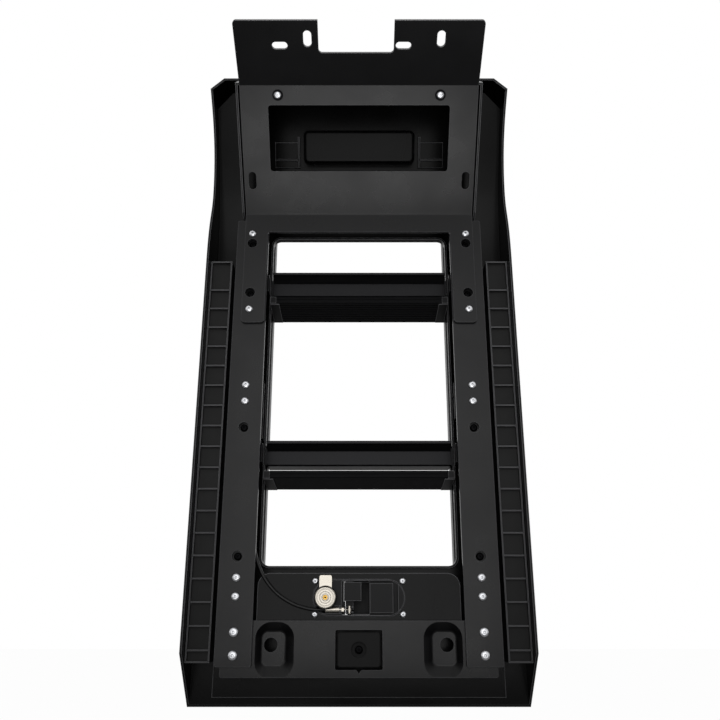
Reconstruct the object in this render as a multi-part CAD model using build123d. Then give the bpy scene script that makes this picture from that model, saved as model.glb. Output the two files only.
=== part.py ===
"""Side ladder for a vehicle body side: a fixed two-rung frame in a moulded housing, with a roof
bracket, and a two-tread ladder section that folds down about a hinge at the foot of the opening.

Frame: +X across the ladder, +Y away from the vehicle, +Z up. The origin is midway between the two
lower fixing holes, on the faces of their dished seats. All sizes are in millimetres.
"""
from build123d import *
import math
import os

os.makedirs("parts", exist_ok=True)

# Stack of flat parts on the vehicle side, measured from the rear face of the straps
strap_t = 5.0
strap_w = 46.0
strap_gap = 265.6
plate_t = 4.0
dish_depth = 10.0
rear = -(strap_t + dish_depth)
strap_x = (strap_gap + strap_w) / 2
face_gap = 0.3

# Rails behind the straps
rail_w = 28.0
rail_d = 30.0
rail_wall = 2.5
rail_rear = rear + strap_t
rail_front = rail_rear + rail_d
rail_in = strap_x - rail_w / 2 + 5.0
rail_out = rail_in + rail_w

# Heights
strap_low = -25.5
strap_top = 590.0
rail_top = 585.0
open_low = 98.0
open_top = 585.0
rung_pitch = 256.0
rung_low = 233.0
bend_low = 599.0
leg_low = 427.0

# Housing
house_w = 448.0
wall = 3.0
house_low = -78.0
house_top = 812.0
skin_depth = 57.0
wing_depth = 78.0
recess_half = 186.0
recess_low = -62.0
recess_top = 612.0
open_half = 131.0
open_r = 11.0
lip_h = 7.0
rim_depth = 8.0
skin_rear = rear + skin_depth
skin_front = skin_rear + wall
wing_front = rear + wing_depth

# Hood at the top of the housing
hood_half = 173.0
hood_rear = rear - 47.0
hood_front = rear - 6.0
hood_rear_z = 806.0
corner_x = 204.0
corner_deg = 40.8
lean_start = 560.0

# Toe pocket seen through the bracket window
pocket_w = 172.0
pocket_h = 50.0
pocket_y = rear + 8.5
pocket_z = 723.1
brow_deg = 27.5
clip_x = (93.0, 132.0)
clip_low = -30.0
clip_step = -19.5
clip_top = 17.0
clip_depth = 18.0

# Roof bracket, one bent plate
bracket_w = 334.0
bracket_t = 4.0
lean_len = 181.0
lean_deg = 40.3
flange_len = 89.0
flange_deg = 26.9
bend_r = 5.0
bridge_h = 30.0
window_w = 256.0
window_low = 62.0
window_h = 91.0
top_screw_x = 113.8
top_screw_s = 166.5
lean_slot_x = 155.0
lean_slot_s = 48.7
slot_w = 11.0
lean_slot_len = 25.0
notch_w = 101.4
notch_x = -3.8
notch_d = 45.0
flat_slots = ((-106.4, 54.0), (59.8, 54.0))
upright_slots = ((-69.0, 63.0), (110.0, 63.0))
flange_slot_w = 10.0
flange_slot_len = 22.0
flat_slot_len = 21.0

# Cross plate with the dished seats of the lower fixings
cross_w = 344.0
cross_low = -38.0
cross_top = 29.0
seat_x = 110.7
seat_hole_r = 8.5
pad_x = 107.0
pad_w = 29.6
pad_h = 41.0
pad_z = -4.2
dish_w = 48.5
dish_top = 27.3
dish_low = -39.5
cut_w = 58.6
cut_h = 46.5
cut_z = -5.5
bumper_w = 53.0
bumper_h = 41.0
bumper_t = 11.0

# Fasteners
bolt_r = 3.0
bolt_hole_r = 3.3
bolt_head_r = 5.3
bolt_head_h = 3.4
screw_r = 2.5
screw_head_r = 5.2
screw_head_h = 4.2
clear_hole_r = 7.0
thread_gap = 0.05
bracket_bolt_z = (447.0, 566.0)
block_bolt_pitch = 23.0
latch_z = 324.5
hinge_z = 69.0
cross_bolt_z = (-12.0, 15.0)
cross_head_r = 5.9
house_screw_z = (107.0, 276.5, 473.0, 551.0)

# Ribbed strips in the side channels
strip_w = 31.2
strip_gap = 0.5
strip_in = house_w / 2 - wall - strip_gap - strip_w
strip_low = -22.0
strip_top = 537.0
strip_base = 3.0
strip_rear = wing_front - 50.0
strip_floor = strip_rear + 6.0
rib_t = 2.0
rib_pitch = 29.28
rib_low = -7.0
rib_count = 18

# Fixed rungs
end_plate_t = 2.5
rung_w = 2 * (open_half - end_plate_t)
rung_h = 32.5
rung_depth = 36.0
rung_wall = 3.0
rung_rear = rear + 50.0
rung_screw_zs = (8.0, 21.0)
rung_screw_r = 1.8
rung_screw_y = 3.5
rung_head_r = 3.3
tab_t = 4.0

# Folding ladder section
stile = 26.0
stile_wall = 2.5
stile_in = 129.5
stile_gap = 1.0
stile_low = 95.0
stile_top = 588.0
cap_h = 12.0
pivot_z = 72.0
stile_rear = skin_front + stile_gap
pivot_y = stile_rear + stile / 2
pin_r = 5.0
run_gap = 0.05
cheek_t = 8.5
tread_w = 2 * (stile_in - cheek_t)
tread_depth = 64.0
tread_h = 11.0
tread_tilt = 5.0
tread_drop = 11.0
tread_rear = rear + 22.0
tread_end_w = 13.0
groove_pitch = 6.0
groove_w = 2.4
groove_d = 1.6

# Latch and guide blocks, striker tabs
block_d = 21.4
latch_top = 350.0
latch_mid = 298.0
latch_low = 270.0
bolt_axis_x = 142.0
bolt_axis_y = rear + 47.0
latch_bolt_r = 4.0
tab_z = 322.0
tab_h = 8.0
tab_w = 13.0
tab_len = 20.0
lock_travel = 10.97
cable_y = rear + 9.0
ear_z = 284.0
ear_t = 6.0
ferrule_len = 6.0
bolt_foot = 301.0
lug_z = 303.0
lug_h = 5.0
spring_r = 4.0
spring_wire = 0.7
spring_turns = 6
seat_depth = 4.0
cable_top_y = rear + 24.0

# Handle in its recess
panel_depth = 13.5
panel_half = 130.0
panel_low = 27.0
panel_top = 87.0
panel_r = 16.0
handle_z = 56.5
base_w = 116.0
base_h = 44.0
base_rear = rear + 8.0
base_flange_w = 132.0
base_flange_h = 56.0
base_front = rear + 40.0
handle_screw_x = 56.0
handle_screw_z = 20.3
crank_x = -12.0
crank_y = rear + 30.0
paddle_swing = 30.0
pin_small_r = 2.5
lock_x = -42.4
lock_r = 9.0
plug_r = 4.5
drum_r = 13.3
cam_w = 16.0
cam_up = 27.3
cable_z = -14.6
ferrule_x = -42.4
ferrule_end = -25.0

# Cable
cable_r = 2.2
wire_r = 0.8
ferrule_r = 3.75
barrel_r = 2.5


def block(x0, x1, y0, y1, z0, z1):
    """Box between two corners."""
    return Pos((x0 + x1) / 2, (y0 + y1) / 2, (z0 + z1) / 2) * Box(abs(x1 - x0), abs(y1 - y0), abs(z1 - z0))


def rod(radius, start, end):
    """Round bar between two points."""
    a, b = Vector(*start), Vector(*end)
    return extrude(Plane(origin=a, z_dir=b - a) * Circle(radius), amount=(b - a).length)


def both(shape):
    """A piece and its mirror image across the middle of the ladder."""
    return [shape, mirror(shape, about=Plane.YZ)]


def group(pieces):
    """Several separate solids in one node."""
    return Compound(children=[s for piece in pieces for s in piece.solids()])


def save(shape, name):
    """Writes one node's file."""
    shape.label = name
    export_step(shape, f"parts/{name}.step")


def prism(points, half, plane=Plane.YZ):
    """Side outline given as (y, z) points, drawn out to both sides of the middle."""
    return extrude(plane * make_face(Polyline(*points, close=True)), amount=half, both=True)


def panel(width, height, radius, y0, y1, x=0.0, z=0.0):
    """Upright plate with rounded corners between two depths."""
    flat = Plane(origin=(x, y1, z), x_dir=(1, 0, 0), z_dir=(0, -1, 0))
    return extrude(flat * RectangleRounded(width, height, radius), amount=y1 - y0)


def button_bolt(x, y, z, length, head_r=bolt_head_r, shank_r=bolt_r, direction=(0, 1, 0)):
    """Button-head bolt whose head seats at the given point and whose shank runs along direction."""
    seat = Plane(origin=(x, y, z), z_dir=(-direction[0], -direction[1], -direction[2]))
    dome = bolt_head_h
    side = Polyline((0, 0), (head_r, 0), (head_r, dome * 0.3))
    crown = ThreePointArc((head_r, dome * 0.3), (head_r * 0.78, dome * 0.82), (head_r * 0.45, dome))
    top = Line((head_r * 0.45, dome), (0, dome))
    head = revolve(seat * (Plane.XZ * make_face([side, crown, top, Line((0, dome), (0, 0))])), axis=seat_axis(seat))
    socket = extrude(seat.offset(dome - 1.8) * RegularPolygon(head_r * 0.36, 6), amount=2.5)
    shank = extrude(seat * Circle(shank_r), amount=-length)
    return head + shank - socket


def seat_axis(plane):
    """Axis along a seat plane's normal."""
    return Axis(plane.origin, plane.z_dir)


def slot_cut(plane, x, y, length, width, upright=False):
    """Cutter for a slotted hole, on a plane of the plate."""
    turn = 90 if upright else 0
    return extrude(plane * Pos(x, y) * Rot(0, 0, turn) * SlotOverall(length, width), amount=3 * bracket_t, both=True)


# Planes of the roof bracket: local X across, local Y up the plate, normal towards the vehicle
lean = math.radians(lean_deg)
lean_dir = (0, -math.sin(lean), math.cos(lean))
bend_low_y = rear - bracket_t
lean_proud = bracket_t * (1 - math.cos(lean)) / 2
lean_plane = Plane(origin=(0, bend_low_y, bend_low), x_dir=(1, 0, 0),
                   z_dir=(0, -math.cos(lean), -math.sin(lean))).offset(lean_proud)
bend_top_y = bend_low_y - lean_len * math.sin(lean)
bend_top_z = bend_low + lean_len * math.cos(lean)
rise = math.radians(flange_deg)
flange_plane = Plane(origin=(0, bend_top_y, bend_top_z), x_dir=(1, 0, 0),
                     z_dir=(0, -math.sin(rise), -math.cos(rise)))


def roof_bracket():
    """U-shaped foot, leaning plate with a window, and slotted roof flange, bent from one plate."""
    flange_end = (bend_top_y - flange_len * math.cos(rise), bend_top_z + flange_len * math.sin(rise))
    middle = FilletPolyline((bend_low_y, leg_low), (bend_low_y, bend_low), (bend_top_y, bend_top_z), flange_end,
                            radius=bend_r)
    section = Plane.YZ * (Pos(bracket_t / 2, 0) * trace(middle, line_width=bracket_t))
    plate = extrude(section, amount=bracket_w / 2, dir=(1, 0, 0), both=True)
    legs = strap_gap / 2 + 1.0
    plate -= panel(2 * legs, 2 * (bend_low - bridge_h - leg_low), 3.0, bend_low_y - 9, bend_low_y + 9, 0, leg_low)
    window = lean_plane * Pos(0, window_low + window_h / 2) * RectangleRounded(window_w, window_h, 4.0)
    plate -= extrude(window, amount=3 * bracket_t, both=True)
    for side in (-1, 1):
        plate -= slot_cut(lean_plane, side * lean_slot_x, lean_slot_s, lean_slot_len, slot_w, upright=True)
        hole = lean_plane * Pos(side * top_screw_x, top_screw_s) * Circle(bolt_hole_r)
        plate -= extrude(hole, amount=3 * bracket_t, both=True)
        for z in bracket_bolt_z:
            plate -= rod(bolt_hole_r, (side * strap_x, rear - 9, z), (side * strap_x, rear + 1, z))
        for z in house_screw_z[2:]:
            plate -= rod(clear_hole_r, (side * strap_x, rear - 9, z), (side * strap_x, rear + 1, z))
    for x, s in flat_slots:
        plate -= slot_cut(flange_plane, x, s, flat_slot_len, flange_slot_w)
    for x, s in upright_slots:
        plate -= slot_cut(flange_plane, x, s, flange_slot_len, slot_w, upright=True)
    notch = flange_plane * Pos(notch_x, flange_len) * RectangleRounded(notch_w, 2 * notch_d, 5.0)
    plate -= extrude(notch, amount=3 * bracket_t, both=True)
    plate = fillet(plate.edges().filter_by(Axis.Y).group_by(Axis.Z)[0], 6.0)
    corners = [e for e in plate.edges() if abs(e.length - bracket_t) < 0.01 and e.center().Z > bend_top_z
               and abs(e.center().X) > bracket_w / 2 - 0.01]
    return fillet(corners, 5.0)


def strap():
    """Flat bar down one side of the opening, right side."""
    x0, x1 = strap_x - strap_w / 2, strap_x + strap_w / 2
    bar = block(x0, x1, rear, rear + strap_t, strap_low, strap_top)
    bar = fillet(bar.edges().filter_by(Axis.Y), 3.0)
    for z in bracket_bolt_z + block_bolts(latch_z) + block_bolts(hinge_z) + cross_bolt_z:
        bar -= rod(bolt_hole_r, (strap_x, rear - 1, z), (strap_x, rear + 9, z))
    for z in house_screw_z:
        bar -= rod(clear_hole_r, (strap_x, rear - 1, z), (strap_x, rear + 9, z))
    return bar


def block_bolts(z):
    """Heights of the two bolts of a block."""
    return (z - block_bolt_pitch / 2, z + block_bolt_pitch / 2)


def rail():
    """Box tube clamped behind one strap, right side."""
    tube = block(rail_in, rail_out, rail_rear, rail_front, cross_top + 1, rail_top)
    tube = fillet(tube.edges().filter_by(Axis.Z), 3.0)
    tube -= block(rail_in + rail_wall, rail_out - rail_wall, rail_rear + rail_wall, rail_front - rail_wall,
                  cross_top, rail_top + 1)
    for z in bracket_bolt_z:
        tube -= rod(bolt_r + thread_gap, (strap_x, rail_rear - 1, z), (strap_x, rail_rear + 9, z))
    for z in block_bolts(latch_z) + block_bolts(hinge_z):
        tube -= rod(bolt_hole_r, (strap_x, rail_rear - 1, z), (strap_x, rail_front + 1, z))
    for z in house_screw_z:
        tube -= rod(screw_r + 0.2, (strap_x, rail_rear - 1, z), (strap_x, rail_front + 1, z))
    return tube


def front_outline(inset):
    """Points of the front face in side view, moved inwards by inset: foot, shoulder and brow."""
    return [(wing_front - inset, house_low), (wing_front - inset, lean_start), (rear + 36 - inset, 729.0)]


def side_outline():
    """Whole side view of the housing, from the foot round the front to the hood and down the rim."""
    foot, shoulder, brow = front_outline(0)
    top = (hood_front, house_top)
    lines = [
        Line(foot, shoulder),
        Spline(shoulder, brow, tangents=[(0, 1), (-0.47, 0.88)]),
        Line(brow, top),
        Line(top, (hood_rear, hood_rear_z)),
        Line((hood_rear, hood_rear_z), (hood_rear + 2, hood_rear_z - 17)),
        Spline((hood_rear + 2, hood_rear_z - 17), (rear + 14, 708), (rear + 24, 640), (rear + rim_depth, 530),
               tangents=[(0.75, -0.66), (0, -1)]),
        Line((rear + rim_depth, 530), (rear + rim_depth + 2, -10)),
        Line((rear + rim_depth + 2, -10), foot),
    ]
    return make_face(lines)


def inner_outline():
    """Side view of the hollow inside the housing, open at the rear and at the foot."""
    foot, shoulder, brow = front_outline(wall)
    top = (hood_front - wall, house_top - wall)
    far = rear - 160
    lines = [
        Line((foot[0], foot[1] - 20), shoulder),
        Spline(shoulder, brow, tangents=[(0, 1), (-0.47, 0.88)]),
        Line(brow, top),
        Line(top, (hood_rear - 1, hood_rear_z - wall)),
        Line((hood_rear - 1, hood_rear_z - wall), (far, hood_rear_z - wall)),
        Line((far, hood_rear_z - wall), (far, house_low - 20)),
        Line((far, house_low - 20), (foot[0], foot[1] - 20)),
    ]
    return make_face(lines)


def recess_solid(grow):
    """Central field of the front, which holds the folded ladder section, grown by one wall or not at all."""
    half = recess_half + grow
    return block(-half, half, skin_front - grow, wing_front + 60, recess_low - grow, recess_top + grow)


def foot_step():
    """Lower end of the recess: the front skin carried down to a step that joins the front edge."""
    half = recess_half + wall
    skin = block(-half, half, skin_rear, skin_front, recess_low - wall, pad_z)
    return skin + block(-half, half, skin_rear, wing_front, recess_low - wall, recess_low)


def hood():
    """Cheeks and cover that carry the leaning plate."""
    normal = (math.cos(lean), math.sin(lean))
    up = (-math.sin(lean), math.cos(lean))

    def on_plate(s, depth):
        depth -= lean_proud
        return (bend_low_y + s * up[0] + depth * normal[0], bend_low + s * up[1] + depth * normal[1])

    low = on_plate(2, bracket_t)
    high = on_plate(lean_len + 2, bracket_t)
    outer = [low, high, (hood_rear, hood_rear_z), (hood_rear + 20, hood_rear_z - 10), (rear + 30, 650),
             (rear + 55, 600), (rear + 20, bend_low - 6)]
    inner = [on_plate(-20, -20), on_plate(lean_len + 2 - wall, -20), on_plate(lean_len + 2 - wall, 80),
             (hood_rear + 90, hood_rear_z - 30), (rear + 60, 640), (rear + 60, 560)]
    shell = prism(outer, hood_half) - prism(inner, hood_half - wall)
    for side in (-1, 1):
        post = lean_plane * Pos(side * top_screw_x, (top_screw_s + lean_len) / 2) * Rectangle(17, lean_len - top_screw_s + 16)
        post = extrude(post, amount=-(bracket_t + 22)) - extrude(post, amount=-bracket_t)
        hole = lean_plane * Pos(side * top_screw_x, top_screw_s) * Circle(bolt_r + thread_gap)
        shell += post - extrude(hole, amount=-(bracket_t + 16))
    return shell


def housing():
    """Moulded surround: deep side walls, wings, central recess with the opening, hood and handle recess."""
    form = extrude(Plane.YZ * side_outline(), amount=house_w / 2, both=True) - corner_wedges(0)
    hollow = extrude(Plane.YZ * inner_outline(), amount=house_w / 2 - wall, both=True)
    hollow = hollow - recess_solid(wall) - corner_wedges(wall)
    shell = form - hollow - recess_solid(0) + foot_step()
    shell += hood()
    height = open_top - open_low
    middle = (open_top + open_low) / 2
    shell += panel(2 * (open_half + wall), height + 2 * wall, open_r + wall, skin_rear - lip_h, skin_rear, 0, middle)
    shell += handle_recess()
    shell += bumper_post()
    for x in (-strap_x, strap_x):
        for z in house_screw_z:
            shell += rod(4.5, (x, rail_front, z), (x, skin_rear + 1, z))
            shell -= rod(screw_r + thread_gap, (x, rail_front - 1, z), (x, skin_rear - 3, z))
    shell -= panel(2 * open_half, height, open_r, skin_rear - 20, skin_front + 1, 0, middle)
    shell += (toe_pocket(wall) + clip_ribs()) - in_front()
    shell -= toe_pocket(0)
    shell -= handle_hollow()
    for side in (-1, 1):
        edge = side * strap_x
        shell -= block(side * (stile_in + stile + face_gap), side * (rail_out - 2), skin_rear - 1, skin_front + 1,
                       pivot_z - 15, pivot_z + 15)
        shell -= block(side * (bolt_axis_x - 7.5), side * (bolt_axis_x + 7.5), skin_rear - 1, skin_front + 1,
                       tab_z - 3, tab_z + tab_h + 6)
        for low in (rung_low, rung_low + rung_pitch):
            for dz in rung_screw_zs:
                z = low + dz
                shell -= rod(rung_screw_r + 0.2, (side * (open_half - 1), rung_rear + rung_screw_y, z),
                             (side * (open_half + wall + 1), rung_rear + rung_screw_y, z))
    return shell


def corner_wedges(grow):
    """What the chamfers take off the two top corners in front view, moved inwards by grow."""
    reach, fall = 60, math.tan(math.radians(corner_deg))
    z = hood_rear_z - grow / math.cos(math.radians(corner_deg))
    outline = Polyline((corner_x - reach, z + reach * fall), (corner_x + reach, z - reach * fall),
                       (corner_x + reach, z + reach * fall), close=True)
    wedge = extrude(Plane.XZ * make_face(outline), amount=house_w / 2, both=True)
    return wedge + mirror(wedge, about=Plane.YZ)


def handle_recess():
    """Outer form of the recess that holds the release handle, right up to the front skin."""
    y0 = rear + panel_depth
    body = block(-panel_half, panel_half, y0, skin_rear, panel_low, panel_top)
    corners = body.edges().filter_by(Axis.Y).group_by(Axis.Z)[-1]
    return fillet(corners, panel_r)


def handle_hollow():
    """Space of the handle recess, with the cut-out for the handle's base."""
    y0 = rear + panel_depth
    body = block(-panel_half + wall, panel_half - wall, y0 + wall, skin_front + 1, panel_low + wall, panel_top - wall)
    body = fillet(body.edges().filter_by(Axis.Y).group_by(Axis.Z)[-1], panel_r - wall)
    body += panel(base_w + 1, base_h + 1, base_h / 2, y0 - 1, y0 + wall + 1, 0, handle_z)
    for x, z in handle_screws_at():
        body += rod(2.3, (x, y0 - 1, z), (x, y0 + wall + 1, z))
    return body


def handle_screws_at():
    """Places of the four screws of the handle."""
    return [(sx * handle_screw_x, handle_z + sz * handle_screw_z) for sx in (-1, 1) for sz in (-1, 1)]


def on_brow(depth):
    """Plane parallel to the brow of the front, a depth in front of the toe pocket's floor, local Y down."""
    tilt = math.radians(brow_deg)
    normal = (0, math.cos(tilt), math.sin(tilt))
    return Plane(origin=(0, pocket_y, pocket_z), x_dir=(1, 0, 0), z_dir=normal).offset(depth)


def in_front():
    """What lies in front of the housing's front face, at the brow."""
    foot, shoulder, brow = front_outline(0)
    far = wing_front + 90
    lines = [Line(foot, shoulder), Spline(shoulder, brow, tangents=[(0, 1), (-0.47, 0.88)]),
             Line(brow, (hood_front, house_top)), Line((hood_front, house_top), (far, house_top)),
             Line((far, house_top), (far, foot[1])), Line((far, foot[1]), foot)]
    return extrude(Plane.YZ * make_face(lines), amount=house_w / 2, both=True)


def toe_pocket(grow):
    """Recess in the brow of the front that serves as the top foothold, grown by one wall or not at all."""
    inset = 2 * (wall - grow)
    flat = on_brow(wall - grow) * RectangleRounded(pocket_w - inset, pocket_h - inset, 5.0 + grow)
    cup = extrude(flat, amount=60)
    return fillet(cup.faces().sort_by(seat_axis(on_brow(0)))[0].edges(), 2.0 + grow)


def clip_ribs():
    """L-shaped ribs with a pad on the inside of the brow, both sides of the toe pocket."""

    def bar(x0, x1, low, high, depth):
        return extrude(on_brow(depth) * Pos((x0 + x1) / 2, -(low + high) / 2) * Rectangle(x1 - x0, high - low), amount=40)

    x0, x1 = clip_x
    piece = bar(x0, x0 + wall, clip_low, clip_top, clip_depth) + bar(x0, x1, clip_step, clip_step + wall, clip_depth)
    piece += bar(x0, x1, clip_low, clip_top - 8, clip_depth + 3)
    return piece + mirror(piece, about=Plane.YZ)


def bumper_post():
    """Pedestal of the centre bumper."""
    y0 = rear + strap_t - 2 + bumper_t
    post = block(-bumper_w / 2 + 2, bumper_w / 2 - 2, y0, skin_rear, cut_z - bumper_h / 2 + 2, cut_z + bumper_h / 2 - 2)
    return post - rod(2.05, (0, y0 - 1, cut_z), (0, y0 + 16, cut_z))


def rib_strip():
    """Ribbed tray that stands on the inside of the wing, right side."""
    x0, x1 = strip_in, strip_in + strip_w
    tray = block(x0, x1, strip_rear, wing_front - wall, strip_low, strip_top)
    inner = (x0 + rib_t, x1 - rib_t)
    tray -= block(*inner, strip_rear - 1, strip_floor, strip_low + rib_t, strip_top - rib_t)
    tray -= block(*inner, strip_floor + strip_base, wing_front, strip_low + rib_t, strip_top - rib_t)
    for i in range(rib_count):
        z = rib_low + i * rib_pitch
        tray += block(x0 + rib_t / 2, x1 - rib_t / 2, strip_rear + 0.4, strip_floor + 1, z - rib_t / 2, z + rib_t / 2)
    return tray


def cross_plate():
    """Plate across the foot of the straps, with two dished seats and a cut-out for the bumper."""
    y0 = rear + strap_t
    z_mid = (cross_low + cross_top) / 2
    plate = panel(cross_w, cross_top - cross_low, 3.0, y0, y0 + plate_t, 0, z_mid)
    cutters = []
    for side in (-1, 1):
        plate += dish(side, y0 + plate_t, 1.6)
        cutters.append(dish(side, y0, 0.0))
        for z in cross_bolt_z:
            plate -= rod(bolt_hole_r, (side * strap_x, y0 - 1, z), (side * strap_x, y0 + plate_t + 1, z))
    for cutter in cutters:
        plate -= cutter
    for side in (-1, 1):
        plate -= rod(seat_hole_r, (side * seat_x, -1, 0), (side * seat_x, plate_t + 1, 0))
    plate -= block(-cross_w, cross_w, y0 - 1, y0 + 40, cross_low - 40, cross_low)
    plate -= panel(cut_w, cut_h, 2.0, y0 - 1, y0 + plate_t + 1, 0, cut_z)
    notch = Polyline((-4, cut_z - cut_h / 2 + 1), (4, cut_z - cut_h / 2 + 1), (0, cut_z - cut_h / 2 - 4), close=True)
    return plate - extrude(Plane.XZ * make_face(notch), amount=60, both=True)


def dish(side, y0, grow):
    """Tapered form of one dished seat, from the plate's face to the pad."""
    z_out = (dish_top + dish_low) / 2
    wide = Plane(origin=(side * (pad_x - 2), y0, z_out), x_dir=(1, 0, 0), z_dir=(0, -1, 0))
    pad = Plane(origin=(side * pad_x, y0 + dish_depth, pad_z), x_dir=(1, 0, 0), z_dir=(0, -1, 0))
    outer = wide * RectangleRounded(dish_w + 2 * grow, dish_top - dish_low + 2 * grow, 20 + grow)
    inner = pad * RectangleRounded(pad_w + 2 * grow, pad_h + 2 * grow, 7 + grow)
    form = loft([outer, inner])
    return fillet(form.faces().sort_by(Axis.Y)[-1].edges(), 3.0 + grow)


def centre_bumper():
    """Square block in the cut-out of the cross plate, with a countersunk fixing."""
    y0 = rear + strap_t - 2
    body = panel(bumper_w, bumper_h, 4.0, y0, y0 + bumper_t, 0, cut_z)
    body = chamfer(body.faces().sort_by(Axis.Y)[0].edges(), 1.0)
    body -= rod(9.5, (0, y0 - 1, cut_z), (0, y0 + 4, cut_z))
    return body - rod(2.3, (0, y0, cut_z), (0, y0 + bumper_t + 1, cut_z))


def rung_profile():
    """Outline of a fixed rung as (y, z) points: face, sloped band, nosing and top."""
    y, top = rung_rear, rung_h
    nose = y - 17.0
    return [(y, 0), (y, top - 12), (y - 10.5, top - 5.2), (nose, top - 4), (nose, top - 1), (nose + 1.5, top),
            (y + rung_depth, top), (y + rung_depth, 0)]


def fixed_rung(low):
    """Hollow extruded rung with a nosing over its face and anti-slip ridges on top."""
    points = [(y, z + low) for y, z in rung_profile()]
    body = prism(points, rung_w / 2)
    corners = [e for e in body.edges().filter_by(Axis.X) if e.center().Z < low + 1]
    body = fillet(corners, 3.0)
    y0, y1 = rung_rear + rung_wall, rung_rear + rung_depth - rung_wall
    hollow = block(-rung_w, rung_w, y0, y1, low + rung_wall, low + rung_h - rung_wall)
    body -= fillet(hollow.edges().filter_by(Axis.X), 2.0)
    for i in range(7):
        y = rung_rear - 10 + i * groove_pitch
        body -= block(-rung_w, rung_w, y, y + groove_w, low + rung_h - 1.2, low + rung_h + 1)
    for side in (-1, 1):
        x0, x1 = side * rung_w / 2, side * open_half
        plate = block(x0, x1, rung_rear - 2.5, skin_rear + 1, low + 1, low + rung_h - 7.5)
        for dz in rung_screw_zs:
            plate -= rod(rung_screw_r + thread_gap, (x0 - side, rung_rear + rung_screw_y, low + dz),
                         (x1 + side, rung_rear + rung_screw_y, low + dz))
            body -= rod(rung_screw_r + 0.2, (x0 - side * 6, rung_rear + rung_screw_y, low + dz),
                        (x0 + side, rung_rear + rung_screw_y, low + dz))
        body += plate
    return body


def rung_brackets():
    """Four angle tabs that tie the rung ends to the rails."""
    pieces = []
    x0, x1 = open_half + wall, rail_out - 3
    for low in (rung_low, rung_low + rung_pitch):
        z0, z1 = low + 3, low + rung_h - 3
        foot = block(x0, x1, rail_front, rail_front + tab_t, z0, z1)
        tab = block(x0, x0 + tab_t, rail_front, skin_rear - face_gap, z0, z1)
        angle = foot + tab
        for dz in rung_screw_zs:
            angle -= rod(rung_screw_r + 0.2, (x0 - 1, rung_rear + rung_screw_y, low + dz), (x0 + tab_t + 1, rung_rear + rung_screw_y, low + dz))
        pieces += both(angle)
    return group(pieces)


def rung_screws():
    """Eight screws through the tabs and the lip into the rung ends."""
    pieces = []
    x = open_half + wall + tab_t
    for low in (rung_low, rung_low + rung_pitch):
        for dz in rung_screw_zs:
            pieces += both(button_bolt(x, rung_rear + rung_screw_y, low + dz, 13.0, rung_head_r, rung_screw_r, direction=(-1, 0, 0)))
    return group(pieces)


def ladder_stile():
    """Box tube of the folding section, right side."""
    tube = block(stile_in, stile_in + stile, stile_rear, stile_rear + stile, stile_low, stile_top)
    tube = fillet(tube.edges().filter_by(Axis.Z), 4.0)
    w = stile_wall
    bore = block(stile_in + w, stile_in + stile - w, stile_rear + w, stile_rear + stile - w, stile_low - 1, stile_top + 1)
    return tube - fillet(bore.edges().filter_by(Axis.Z), 1.5)


def spigot(z0, z1):
    """Stub that fits inside the stile tube."""
    w = stile_wall + 0.1
    stub = block(stile_in + w, stile_in + stile - w, stile_rear + w, stile_rear + stile - w, z0, z1)
    return fillet(stub.edges().filter_by(Axis.Z), 1.6)


def hinge_lug():
    """Solid foot of the stile with a round end about the pivot, right side."""
    head = block(stile_in, stile_in + stile, stile_rear, stile_rear + stile, pivot_z, stile_low)
    head += rod(stile / 2, (stile_in, pivot_y, pivot_z), (stile_in + stile, pivot_y, pivot_z))
    head += spigot(stile_low, stile_low + 20)
    return head - rod(pin_r + run_gap, (stile_in - 1, pivot_y, pivot_z), (stile_in + stile + 1, pivot_y, pivot_z))


def stile_cap():
    """Rubber foot on the free end of the stile, right side."""
    cap = block(stile_in, stile_in + stile, stile_rear, stile_rear + stile, stile_top, stile_top + cap_h)
    cap = fillet(cap.edges().filter_by(Axis.Z), 4.0)
    cap = fillet(cap.faces().sort_by(Axis.Z)[-1].edges(), 3.0)
    return cap + spigot(stile_top - 15, stile_top)


def striker(with_eye):
    """Tab on the stile that enters the latch or the guide, right side."""
    x0, x1 = bolt_axis_x - tab_w / 2, bolt_axis_x + tab_w / 2
    tab = block(x0, x1, stile_rear - tab_len, stile_rear, tab_z, tab_z + tab_h)
    tab = fillet(tab.edges().filter_by(Axis.Z).group_by(Axis.Y)[0], 3.0)
    if with_eye:
        tab -= rod(latch_bolt_r + 0.35, (bolt_axis_x, bolt_axis_y, tab_z - 1), (bolt_axis_x, bolt_axis_y, tab_z + tab_h + 1))
    return tab


def tread(low):
    """Hollow tread of the folding section, whose ridged top faces down while it is folded."""
    z1 = low + rung_low - tread_drop
    place = Pos(0, tread_rear, z1) * Rot(-tread_tilt, 0, 0)
    slab = block(-tread_w / 2, tread_w / 2, 0, tread_depth, -tread_h, 0)
    rear_edges = slab.edges().filter_by(Axis.X).group_by(Axis.Y)[0]
    slab = fillet(rear_edges, 2.5)
    slab -= block(-tread_w, tread_w, -1, 0.8, -tread_h * 0.58, -tread_h * 0.42)
    for i in range(9):
        y = 7 + i * groove_pitch
        slab -= block(-tread_w, tread_w, y, y + groove_w, -tread_h - 1, -tread_h + groove_d)
    for i in range(3):
        y = 5 + i * 18.5
        slab -= block(-tread_w, tread_w, y, y + 16, -tread_h + 4, -2.5)
    return place * slab


def tread_end(low):
    """Bracket at the end of a tread, right side: a cheek against the stile with a toe under the tread."""
    z1 = low + rung_low - tread_drop
    place = Pos(0, tread_rear, z1) * Rot(-tread_tilt, 0, 0)
    cheek = block(tread_w / 2, stile_in, 1, tread_depth, -tread_h, -0.5)
    toe = block(stile_in - tread_end_w, stile_in, 3, tread_depth - 1, -tread_h - 1, -tread_h)
    return place * (cheek + toe)


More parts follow.
